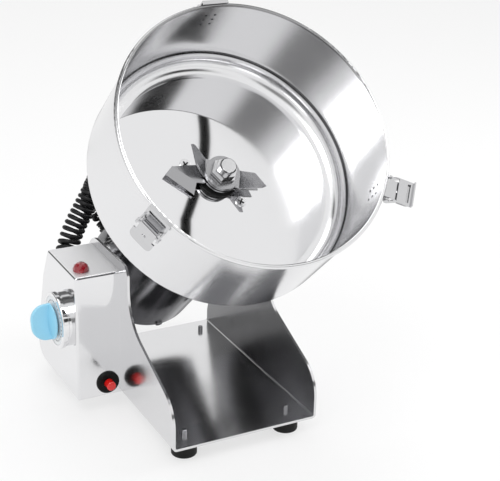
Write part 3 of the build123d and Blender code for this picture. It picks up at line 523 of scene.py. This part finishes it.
def sideways(points):
    # a side vector carried along the line without twist, and the one square to it
    ahead = np.gradient(points, axis=0)
    ahead /= np.linalg.norm(ahead, axis=1)[:, None]
    side = np.zeros_like(ahead)
    side[0] = np.cross(ahead[0], (0, 0, 1.0))
    for n in range(len(points)):
        before = side[max(n - 1, 0)]
        side[n] = before - ahead[n] * (before @ ahead[n])
        side[n] /= np.linalg.norm(side[n])
    return side, np.cross(ahead, side)


def makeCurlyCord(settings):
    # a helix: centre line + radius * (cos turn * side + sin turn * other side), its radius easing in at each
    # end; turns lie closer on straight runs: pitch = spacing * wire / (1 - coil radius * bend)
    route = cordRoute(settings)
    middle, at = alongLine(smoothLine(route), settings["wire"] / settings["pointsPerTurn"])
    side, other = sideways(middle)
    length = at[-1]
    ease = np.clip(np.minimum(at, length - at) / settings["lead"], 0, 1)
    radius = (settings["coil"] - settings["wire"]) / 2 * (3 * ease ** 2 - 2 * ease ** 3)
    heading = np.gradient(middle, at, axis=0)
    bend = np.linalg.norm(np.gradient(heading, at, axis=0), axis=1)
    window = settings["bendWindow"]
    bend = np.convolve(np.pad(bend, window // 2, mode="edge"), np.full(window, 1 / window), mode="valid")
    pitch = settings["spacing"] * settings["wire"] / (1 - np.clip(radius.max() * bend, 0, 0.6))
    turn = np.r_[0, np.cumsum(2 * math.pi * np.diff(at) / pitch[1:])]
    points = middle + radius[:, None] * (np.cos(turn)[:, None] * side + np.sin(turn)[:, None] * other)
    data = bpy.data.curves.new("curlyCord", "CURVE")
    data.dimensions = "3D"
    data.bevel_depth = settings["wire"] / 2
    data.bevel_resolution = 3
    data.use_fill_caps = True
    spline = data.splines.new("POLY")
    spline.points.add(len(points) - 1)
    spline.points.foreach_set("co", np.c_[points, np.ones(len(points))].ravel())
    spline.use_smooth = True
    cord = bpy.data.objects.new("curlyCord", data)
    bpy.context.collection.objects.link(cord)
    cord.data.materials.append(cordRubber)
    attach(cord, "stand")
    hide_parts("curly_cord")


makeCurlyCord(curlyCord)


# faceted lens of the indicator lamp

lampLens = {
    "sides": 10,
    "rings": [(0.0081, 0.0), (0.0080, 0.0022), (0.0068, 0.0052), (0.0040, 0.0074)],     # radius and height
    "top": 0.0083,
}


def makeLampLens(settings):
    # rings of points whose radius and height follow the profile, each ring turned half a step from the last
    low, high = (np.array(corner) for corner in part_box("lamp_lens"))
    foot = np.array([*(low[:2] + high[:2]) / 2, low[2]])
    profile = np.array(settings["rings"])
    n = settings["sides"]
    step = 2 * math.pi / n
    angle = np.arange(n)[None] * step + np.arange(len(profile))[:, None] * step / 2
    ring = np.stack([profile[:, :1] * np.cos(angle), profile[:, :1] * np.sin(angle),
                     np.repeat(profile[:, 1:], n, 1)], -1).reshape(-1, 3)
    points = foot + np.r_[ring, [[0, 0, settings["top"]], [0, 0, 0]]]
    k = np.arange(n)
    after = (k + 1) % n
    faces = []
    for row in range(len(profile) - 1):
        below, above = row * n, (row + 1) * n
        faces += np.stack([below + k, below + after, above + k], -1).tolist()
        faces += np.stack([below + after, above + after, above + k], -1).tolist()
    last, top, middle = (len(profile) - 1) * n, len(ring), len(ring) + 1
    faces += np.stack([last + k, last + after, np.full(n, top)], -1).tolist()
    faces += np.stack([after, k, np.full(n, middle)], -1).tolist()
    lens = addPiece("lampLens", points, faces, "stand", smooth=False)
    lens.data.materials.append(lampRed)
    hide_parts("lamp_lens")


makeLampLens(lampLens)
print("lamp ready")


# small raised dots: the dial's marks and the spot welds inside the bowl

def domes(centres, normals, sideVectors, radius, height, sides=14):
    # each dome: rings of points, radius * sin and height * cos of the angle from its top, on its own axes
    tilt = np.array([0.0, 0.45, 0.9, 1.25, math.pi / 2])     # radians
    turn = np.arange(sides) * 2 * math.pi / sides
    x = radius * np.sin(tilt)[:, None] * np.cos(turn)
    y = radius * np.sin(tilt)[:, None] * np.sin(turn)
    z = height * np.cos(tilt)[:, None] + 0 * turn
    flat = np.stack([x, y, z], -1).reshape(-1, 3)
    across = np.cross(normals, sideVectors)
    points = centres[:, None] + sum(flat[None, :, k:k + 1] * axis[:, None]
                                    for k, axis in enumerate((sideVectors, across, normals)))
    first = np.arange(len(centres)) * len(flat)
    faces = gridFaces(len(tilt), sides)[None] + first[:, None, None]
    return points.reshape(-1, 3), faces.reshape(-1, 4)


def closeDomes(piece):
    # the points at each top become one, and each foot gets a face
    work = bmesh.new()
    work.from_mesh(piece.data)
    bmesh.ops.remove_doubles(work, verts=work.verts, dist=1e-7)
    rims = [edge for edge in work.edges if edge.is_boundary]
    bmesh.ops.holes_fill(work, edges=rims, sides=0)
    bmesh.ops.recalc_face_normals(work, faces=work.faces)
    work.to_mesh(piece.data)
    work.free()


dialMarks = {"circle": 0.0205, "count": 26, "from": 30.0, "step": 12.0, "radius": 0.00085, "height": 0.0002}


def makeDialMarks(settings):
    # on a circle round the timer's middle, on the dial's face: circle * (cos turn, sin turn) in y and z
    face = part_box("timer_dial")[0].x
    middle = sum(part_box("timer_bezel"), Vector()) / 2
    turn = np.radians(settings["from"] + settings["step"] * np.arange(settings["count"]))
    centres = np.stack([np.full_like(turn, face), middle.y + settings["circle"] * np.cos(turn),
                        middle.z + settings["circle"] * np.sin(turn)], -1)
    normals = np.tile([-1.0, 0, 0], (len(turn), 1))
    sides = np.tile([0, 1.0, 0], (len(turn), 1))
    points, faces = domes(centres, normals, sides, settings["radius"], settings["height"], 10)
    marks = addPiece("dialMarks", points, faces, "stand")
    closeDomes(marks)
    marks.data.materials.append(blackPlastic)


weldDots = {
    "angles": (90.0, -31.5, -150.0),               # of the latches, degrees round the bowl
    "across": (-0.0045, 0.0045),
    "heights": (0.241, 0.2485, 0.256),             # along the motor's axis, from the pivot
    "wall": 0.1238,
    "radius": 0.0013,
    "rise": 0.00035,
}


def headFrame(angles):
    # across the motor and outward from its axis, at each angle round it
    across = np.stack([np.sin(angles), -np.cos(angles)], -1)
    outward = np.stack([np.cos(angles), np.sin(angles)], -1)
    inWorld = [flat[:, :1] * np.array([1.0, 0, 0]) + flat[:, 1:] * headUp for flat in (across, outward)]
    return inWorld[0], inWorld[1]


def makeWeldDots(settings):
    angle, side, height = (grid.ravel() for grid in np.meshgrid(
        np.radians(settings["angles"]), settings["across"], settings["heights"], indexing="ij"))
    angle = angle + side / settings["wall"]
    across, outward = headFrame(angle)
    centres = pivot + outward * settings["wall"] + headAxis * height[:, None]
    points, faces = domes(centres, -outward, across, settings["radius"], settings["rise"])
    dots = addPiece("weldDots", points, faces, "head")
    closeDomes(dots)
    dots.data.materials.append(burntSteel)


makeDialMarks(dialMarks)
makeWeldDots(weldDots)
print("marks ready")


# floor, light and surroundings

studio = {
    "floor": (0.90, 0.90, 0.90),
    "floorSize": 12.0,       # half of its width
    "ownGlow": 0.62,         # how far the floor shows as plain white
    "floorCard": ((-0.10, 0.6), (0.11, 1.2)),     # x and y of a dark card that only mirror-like rays meet
    "cardColor": (0.03, 0.03, 0.035),
    "cardSoft": 0.03,
    "world": 0.75,
    "screen": 0.98,          # what mirror-like rays meet away from the cards
    "cards": [               # how dark, soft border, and the ranges of x, y and z of the direction
        (0.75, 0.12, (-0.62, -0.30), (-1.0, -0.5), (0.10, 0.30)),
        (0.99, 0.05, (0.28, 0.56), (-1.0, -0.5), (0.20, 0.38)),
        (0.90, 0.12, (-0.5, 0.6), (0.05, 0.55), (0.80, 1.0)),
        (0.85, 0.12, (-0.75, -0.28), (0.45, 1.0), (0.05, 0.55)),
    ],
    "lamps": [               # name, place, what it faces, size and power
        ("keyLamp", (-0.9, -0.9, 1.6), (0, 0, 0.2), 0.9, 9.0),
        ("rightLamp", (1.3, -0.3, 1.2), (0, 0, 0.2), 0.8, 6.0),
        ("topLamp", (0.0, 0.4, 1.9), (0, 0, 0.2), 1.2, 8.0),
    ],
}

lampArm = {                  # a thin dark arm that mirror-like rays meet, as parts of the direction
    "start": -0.33, "length": 0.105, "past": 0.02, "fade": 0.01,     # along y
    "x": 0.413, "lean": 0.18, "bow": 0.0115,
    "half": 0.0034, "soft": 0.0006,
}


def makeFloor(settings):
    size, height = settings["floorSize"], cadBox[0][2]
    corners = [(-size, -size, height), (size, -size, height), (size, size, height), (-size, size, height)]
    mesh = bpy.data.meshes.new("floor")
    mesh.from_pydata(corners, [], [(0, 1, 2, 3)])
    floor = bpy.data.objects.new("floor", mesh)
    bpy.context.collection.objects.link(floor)
    material = newMaterial("floorPaper", settings["floor"], 0.9)
    glow = addNode(material, "ShaderNodeEmission")
    path = addNode(material, "ShaderNodeLightPath")
    card = number(material, "ADD", path.outputs["Is Glossy Ray"])
    for place, (low, high) in zip(separate(material, objectPoint(material)), settings["floorCard"]):
        card = number(material, "MULTIPLY", card, band(material, place, low, high, settings["cardSoft"]))
    join(material, mixColors(material, card, (1, 1, 1), settings["cardColor"]), glow.inputs["Color"])
    seen = number(material, "MAXIMUM", path.outputs["Is Camera Ray"], path.outputs["Is Glossy Ray"])
    mix = addNode(material, "ShaderNodeMixShader")
    feed(material, mix, number(material, "MULTIPLY", seen, settings["ownGlow"]),
         shaderOf(material).outputs[0], glow.outputs[0])
    join(material, mix.outputs[0], material.node_tree.nodes["Material Output"].inputs["Surface"])
    mesh.materials.append(material)


def makeLamp(name, place, target, size, power):
    data = bpy.data.lights.new(name, "AREA")
    data.shape = "DISK"
    data.size = size
    data.energy = power
    lamp = bpy.data.objects.new(name, data)
    lamp.location = place
    lamp.rotation_euler = (Vector(target) - Vector(place)).to_track_quat("-Z", "Y").to_euler()
    bpy.context.collection.objects.link(lamp)


def armShade(world, x, y, settings):
    # 1 on the arm: its x falls along a line in y, with half a wave added
    along = number(world, "SUBTRACT", settings["start"], y)
    wave = number(world, "MULTIPLY", number(world, "DIVIDE", along, settings["length"], clamp=True), math.pi)
    bow = number(world, "MULTIPLY", number(world, "SINE", wave), settings["bow"])
    middle = number(world, "SUBTRACT", number(world, "ADD", bow, settings["x"]),
                    number(world, "MULTIPLY", along, settings["lean"]))
    off = number(world, "ABSOLUTE", number(world, "SUBTRACT", x, middle))
    thin = spread(world, off, 1.0, 0.0, settings["half"], settings["half"] + settings["soft"])
    reach = band(world, along, -settings["past"], settings["length"] + settings["past"], settings["fade"])
    return number(world, "MULTIPLY", thin, reach)


def makeWorld(settings, arm):
    # even light; mirror-like rays also meet the arm and dark cards: boxes of directions with soft borders
    world = bpy.data.worlds.new("studioWorld")
    bpy.context.scene.world = world
    world.use_nodes = True
    back = world.node_tree.nodes["Background"]
    back.inputs["Strength"].default_value = 1.0
    x, y, z = separate(world, addNode(world, "ShaderNodeTexCoord").outputs["Generated"])
    light = number(world, "ADD", settings["screen"])
    for depth, soft, *ranges in settings["cards"]:
        card = number(world, "ADD", depth)
        for axis, (low, high) in zip((x, y, z), ranges):
            card = number(world, "MULTIPLY", card, band(world, axis, low, high, soft))
        light = number(world, "MULTIPLY", light, number(world, "SUBTRACT", 1.0, card))
    light = number(world, "MULTIPLY", light, number(world, "SUBTRACT", 1.0, armShade(world, x, y, arm)))
    mirrored = addNode(world, "ShaderNodeCombineXYZ")
    feed(world, mirrored, light, light, light)
    level = settings["world"]
    lit = addNode(world, "ShaderNodeMix", data_type="RGBA")
    lit.inputs[6].default_value = (level, level, level, 1)
    join(world, addNode(world, "ShaderNodeLightPath").outputs["Is Glossy Ray"], lit.inputs[0])
    join(world, mirrored.outputs[0], lit.inputs[7])
    join(world, lit.outputs[2], back.inputs["Color"])


makeFloor(studio)
for lamp in studio["lamps"]:
    makeLamp(*lamp)
makeWorld(studio, lampArm)
bpy.context.scene.view_settings.view_transform = "Standard"
print("studio ready")
